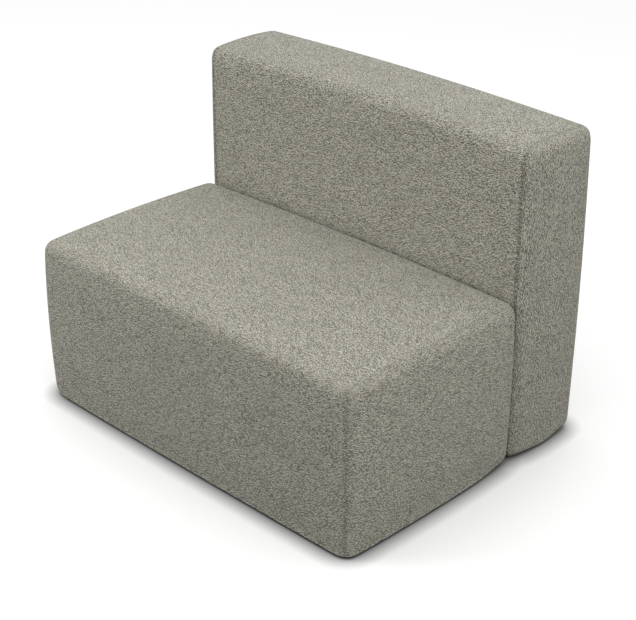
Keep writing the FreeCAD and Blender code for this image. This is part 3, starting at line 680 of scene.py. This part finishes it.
def path_tree():
    """A tree that lays copies of a piece along a path, and the identifiers of its inputs."""
    tree = bpy.data.node_groups.new("laid_along_a_path", "GeometryNodeTree")
    inputs = {}
    for name, kind in (("Path", "Geometry"), ("Piece", "Object"), ("Spacing", "Float"), ("Turn", "Float"),
                       ("Finish", "Material")):
        inputs[name] = tree.interface.new_socket(name=name, in_out="INPUT", socket_type=f"NodeSocket{kind}")
    tree.interface.new_socket(name="Laid", in_out="OUTPUT", socket_type="NodeSocketGeometry")
    start = Wire(tree)
    given = {name: start.node("NodeGroupInput", output=name) for name in inputs}
    line = start.node("GeometryNodeResampleCurve", {"mode": "LENGTH"}, Length=given["Spacing"],
                      Curve=start.node("GeometryNodeMeshToCurve", Mesh=given["Path"]))
    heading = start.node("FunctionNodeAlignRotationToVector", {"axis": "X"},
                         Vector=start.node("GeometryNodeInputTangent"))
    askew = start.node("FunctionNodeRandomValue", {"data_type": "FLOAT"}, output=1,
                       _2=0 - given["Turn"], _3=given["Turn"], Seed=5)
    turned = start.node("FunctionNodeRotateRotation", {"rotation_space": "LOCAL"}, Rotation=heading,
                        Rotate_By=start.node("FunctionNodeEulerToRotation", Euler=start.node(
                            "ShaderNodeCombineXYZ", Z=askew)))
    laid = start.node("GeometryNodeInstanceOnPoints", Points=line, Rotation=turned, Instance=start.node(
        "GeometryNodeObjectInfo", output="Geometry", Object=given["Piece"]))
    solid = start.node("GeometryNodeRealizeInstances", Geometry=laid)
    start.node("NodeGroupOutput", Laid=start.node("GeometryNodeSetMaterial", Geometry=solid,
                                                  Material=given["Finish"]))
    return tree, {name: socket.identifier for name, socket in inputs.items()}


PATH_TREE, PATH_INPUTS = path_tree()


def laid_along(name, paths, closed, piece, spacing, turn, finish):
    """Copies of a small piece along each path, as one mesh that belongs to the loveseat."""
    points, edges = [], []
    for path in paths:
        first = len(points)
        points += list(path)
        edges += [(n, n + 1) for n in range(first, len(points) - 1)]
        edges += [(len(points) - 1, first)] if closed else []
    made = new_piece(name, points, [], edges)
    row = made.modifiers.new("row", "NODES")
    row.node_group = PATH_TREE
    given = {"Piece": piece, "Spacing": spacing, "Turn": turn, "Finish": FINISHES[finish]}
    for label, value in given.items():
        row[PATH_INPUTS[label]] = value
    made.data = bpy.data.meshes.new_from_object(evaluated(made))
    made.modifiers.clear()
    made.data.name = name
    bpy.data.objects.remove(piece)
    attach(made, "loveseat")
    return made


def face_outwards(mesh):
    work = bmesh.new()
    work.from_mesh(mesh)
    bmesh.ops.recalc_face_normals(work, faces=work.faces)
    work.to_mesh(mesh)
    work.free()


def stitch():
    """One stitch of thread along X, thickest in its middle."""
    length, width, height = STITCH
    rings = [(-1, 0.35), (-0.6, 0.85), (0, 1.0), (0.6, 0.85), (1, 0.35)]
    points = [(length * along, width * thick * math.cos(a), height * thick * math.sin(a))
              for along, thick in rings for a in (n * math.pi / 3 for n in range(6))]
    faces = [(r * 6 + 6 + n, r * 6 + 6 + (n + 1) % 6, r * 6 + (n + 1) % 6, r * 6 + n)
             for r in range(4) for n in range(6)]
    made = new_piece("stitch", points, faces + [tuple(range(6)), tuple(range(29, 23, -1))])
    face_outwards(made.data)
    shade_smooth(made.data)
    return made


def staple():
    """One staple: a flat wire bent up at both ends of its crown, its legs in the wood."""
    bend = [(-.0050, .0030), (-.0050, .0006), (-.0044, -.0002),
            (.0044, -.0002), (.0050, .0006), (.0050, .0030)]
    points = []
    for number, (x, z) in enumerate(bend):
        inward = (0.0004 if number < 3 else -0.0004, 0.0005 if 0 < number < 5 else 0)
        for y in (-.0006, .0006):
            points += [(x, y, z), (x + inward[0], y, z + inward[1])]
    faces = []
    for a in range(0, 20, 4):
        b = a + 4
        faces += [(a, a + 2, b + 2, b), (a + 1, b + 1, b + 3, a + 3), (a, b, b + 1, a + 1),
                  (a + 2, a + 3, b + 3, b + 2)]
    made = new_piece("staple", points, faces + [(0, 1, 3, 2), (20, 22, 23, 21)])
    face_outwards(made.data)
    return made


for cover, seams in ((seat_cover, seat_seams), (back_cover, back_seams)):
    shape = evaluated(cover).data
    rows = [[v.co + v.normal * STITCH_LIFT for v in (shape.vertices[number] for number in seam)]
            for seam in seams]
    laid_along(cover.name.replace("cover_sewn", "seam_stitches"), rows, False, stitch(), STITCH_PITCH,
               STITCH_ASKEW, "thread")


# Foam, felt and straps inside the covers

FOAM_GAP = 0.0015                       # least room between the foam and a sewn cover
FOAM_NEAR = 0.004                       # foam this near to the CAD cover lies against it
FOAM_BACK, FOAM_RUBBED = 0.0045, 0.0004     # how far such foam is held back, and the rest is rubbed down
BLOCK_CELL, PAD_CELL = 0.010, 0.006     # mesh size of the two foam blocks, and of the pads
FELT_LINES = (74, 42)
FELT_INSET, FELT_THICK, FELT_WAVE = 0.002, 0.0022, 0.0003
STRAP_WIDTH, STRAP_THICK = 0.050, 0.0014
STRAP_INSET, STRAP_BOW = 0.001, 0.0002

COVER_SURFACES = {block: (surface_of(nodes[f"{block}_cover"].data), surface_of(evaluated(cover).to_mesh()))
                  for block, cover in (("seat", seat_cover), ("back", back_cover))}


def foam_piece(node, voxel):
    """A cut foam piece, its edges rubbed soft, held a little back from the cover."""
    piece = bpy.data.objects.new(f"{node}_cut", nodes[node].data.copy())
    scene.collection.objects.link(piece)
    work = bmesh.new()
    work.from_mesh(piece.data)
    bmesh.ops.remove_doubles(work, verts=work.verts, dist=1e-5)
    work.to_mesh(piece.data)
    work.free()
    remesh = piece.modifiers.new("cells", "REMESH")
    remesh.mode, remesh.voxel_size, remesh.use_smooth_shade = "VOXEL", voxel, True
    soften = piece.modifiers.new("soften", "SMOOTH")
    soften.factor, soften.iterations = 0.5, 4
    mesh = bpy.data.meshes.new_from_object(evaluated(piece))
    piece.modifiers.clear()
    piece.data = mesh
    drawn, sewn = COVER_SURFACES[node.split("_")[0]]
    places = []
    for vertex in mesh.vertices:
        near = drawn.find_nearest(vertex.co)[3] < FOAM_NEAR
        place = vertex.co - vertex.normal * (FOAM_BACK if near else FOAM_RUBBED)
        on_cover, outward = sewn.find_nearest(place)[:2]
        places += list(place - outward * max(0, FOAM_GAP - (on_cover - place).dot(outward)))
    mesh.vertices.foreach_set("co", places)
    stand_for(piece, node)


for node, slot in slot_of.items():
    if slot == "foam":
        foam_piece(node, BLOCK_CELL if node in ("seat_foam", "back_foam") else PAD_CELL)


def cloth_sheet(name, node, points, faces, thickness, uv=None):
    """A sheet with real thickness that stands for a CAD node."""
    piece = new_piece(name, points, faces)
    if uv is not None:
        layer = piece.data.uv_layers.new(name="cloth")
        layer.data.foreach_set("uv", [c for loop in piece.data.loops for c in uv[loop.vertex_index]])
    shade_smooth(piece.data)
    wall = piece.modifiers.new("thickness", "SOLIDIFY")
    wall.thickness, wall.offset = thickness, 0
    stand_for(piece, node)
    return piece


def strip_grid(along, across):
    """Faces of a grid with that many points along and across."""
    return [(a * across + b, (a + 1) * across + b, (a + 1) * across + b + 1, a * across + b + 1)
            for a in range(along - 1) for b in range(across - 1)]


low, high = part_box("seat_felt")
xs, ys = (np.linspace(low[axis] + FELT_INSET, high[axis] - FELT_INSET, FELT_LINES[axis]) for axis in (0, 1))
level = (low.z + high.z) / 2
lying = [(x, y, level + FELT_WAVE * math.sin(51 * x) * math.sin(63 * y)) for x in xs for y in ys]
seat_felt = cloth_sheet("seat_felt_laid", "seat_felt", lying, strip_grid(*FELT_LINES), FELT_THICK)


def straps(name, node, count, upright):
    """Webbing straps side by side, each a little wavy along its length."""
    low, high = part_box(node)
    length, spread = (high.z - low.z, high.x - low.x) if upright else (high.x - low.x, high.z - low.z)
    lines = np.linspace(-0.5, 0.5, 11)
    stations = np.linspace(STRAP_INSET, length - STRAP_INSET, 60)
    points, faces, uv = [], [], []
    for number in range(count):
        middle = STRAP_WIDTH / 2 + number * (spread - STRAP_WIDTH) / (count - 1)
        first = len(points)
        for s in stations:
            bow = STRAP_BOW * math.sin(s * 40 + number)
            for c in lines:
                across = middle + c * (STRAP_WIDTH - STRAP_INSET)
                x, z = (low.x + across, low.z + s) if upright else (low.x + s, low.z + across)
                points.append((x, (low.y + high.y) / 2 + bow, z))
                uv.append((s, c * STRAP_WIDTH))
        faces += [tuple(first + v for v in face) for face in strip_grid(len(stations), len(lines))]
    piece = cloth_sheet(name, node, points, faces, STRAP_THICK, uv)


straps("back_upright_webbing", "back_upright_straps", 6, True)
straps("back_crossing_webbing", "back_crossing_straps", 3, False)


# Dust covers under both blocks

DUST_ROUND = 0.034                      # round of their corners, to stay inside the covers' drawn-in feet
DUST_THICK, DUST_MESH = 0.0005, 0.016
RIM_ROOM = 0.006                        # least room between the round of a corner and the mesh inside it
GLIDE_HOLE = 0.008                      # radius of the openings round the glides
HOLE_RINGS = (0, 0.004, 0.010)          # rings of the mesh round an opening
DUST_DROP, BELLY, CREASE = 0.0002, 0.0011, 0.0003
FLAT_BAND = 0.03                        # width of the flat cloth along the rim and round the glides
BELLY_RUN, HOLE_RUN = 0.15, 0.12        # lengths over which it comes free past that band
STAPLE_MARGIN, STAPLE_DROP = 0.0035, 0.0007


def dust_cover(block, boards):
    """A lining stretched under a block, open round its glides and stapled to its boards."""
    node = f"{block}_dust_cover"
    low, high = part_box(node)
    glides = [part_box(name) for name in nodes if name.startswith(block) and name.endswith("glide")]
    hubs = [(a + b) / 2 for a, b in glides]
    near, far = (low.x + DUST_ROUND, low.y + DUST_ROUND), (high.x - DUST_ROUND, high.y - DUST_ROUND)
    quarters = ((near[0], near[1], 2), (far[0], near[1], 3), (far[0], far[1], 0), (near[0], far[1], 1))
    corners = [(x + DUST_ROUND * math.cos(a), y + DUST_ROUND * math.sin(a))
               for x, y, turn in quarters for a in np.linspace(turn, turn + 1, 5) * math.pi / 2]

    # Outline, rings round the glides, and a grid between them
    loops = [[]]
    for (x0, y0), (x1, y1) in zip(corners, corners[1:] + corners[:1]):
        steps = max(1, round(math.hypot(x1 - x0, y1 - y0) / DUST_MESH))
        loops[0] += [(x0 + (x1 - x0) * n / steps, y0 + (y1 - y0) * n / steps) for n in range(steps)]
    for hub in hubs:
        for radius in (GLIDE_HOLE + wider for wider in HOLE_RINGS):
            loops.append([(hub.x + radius * math.cos(a), hub.y + radius * math.sin(a))
                          for a in np.linspace(0, 2 * math.pi, 24, endpoint=False)])
    flat, edges = [], []
    for loop in loops:
        first = len(flat)
        edges += [(first + n, first + (n + 1) % len(loop)) for n in range(len(loop))]
        flat += loop
    for x in np.arange(low.x + DUST_MESH, high.x - DUST_MESH / 2, DUST_MESH):
        for y in np.arange(low.y + DUST_MESH, high.y - DUST_MESH / 2, DUST_MESH):
            past_corner = math.hypot(max(near[0] - x, x - far[0], 0), max(near[1] - y, y - far[1], 0))
            if (all(math.hypot(x - hub.x, y - hub.y) > GLIDE_HOLE + DUST_MESH for hub in hubs)
                    and past_corner < DUST_ROUND - RIM_ROOM):
                flat.append((x, y))
    spots, _, triangles = delaunay_2d_cdt([Vector(p) for p in flat], edges, [], 1, 1e-6)[:3]
    faces = []
    for face in triangles:
        middle = sum((spots[n] for n in face), Vector((0, 0))) / len(face)
        if all((middle - hub.xy).length > GLIDE_HOLE * 0.98 for hub in hubs):
            faces.append(face)

    # A belly between the boards, and shallow creases
    level = (low.z + high.z) / 2
    points = []
    for p in spots:
        inside = min(p.x - low.x, high.x - p.x, p.y - low.y, high.y - p.y)
        free = min([1.0] + [max(0.0, (p - hub.xy).length - FLAT_BAND) / HOLE_RUN for hub in hubs])
        belly = min(1.0, max(0.0, inside - FLAT_BAND) / BELLY_RUN) * free
        crease = CREASE * math.sin(p.x * 58 + 3 * math.sin(p.y * 17)) * math.sin(p.y * 41) * free
        points.append((p.x, p.y, level - DUST_DROP - BELLY * belly + crease))
    sheet = cloth_sheet(f"{node}_stretched", node, points, faces, DUST_THICK)

    # Staples along the middles of the boards
    left, right, front, rear = ((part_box(board)[0][axis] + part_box(board)[1][axis]) / 2
                                for board, axis in zip(boards, (0, 0, 1, 1)))
    front, rear = max(front, low.y + STAPLE_MARGIN), min(rear, high.y - STAPLE_MARGIN)
    ring = [(x, y, level - STAPLE_DROP)
            for x, y in ((left, front), (right, front), (right, rear), (left, rear))]
    staples = laid_along(f"{block}_staples", [ring], True, staple(), STAPLE_PITCH, STAPLE_ASKEW,
                         "zinc_steel")


dust_cover("seat", ["seat_left_side_board", "seat_right_side_board", "seat_front_rail", "seat_rear_rail"])
dust_cover("back", ["back_left_end_panel", "back_right_end_panel", "back_front_rail", "back_rear_rail"])
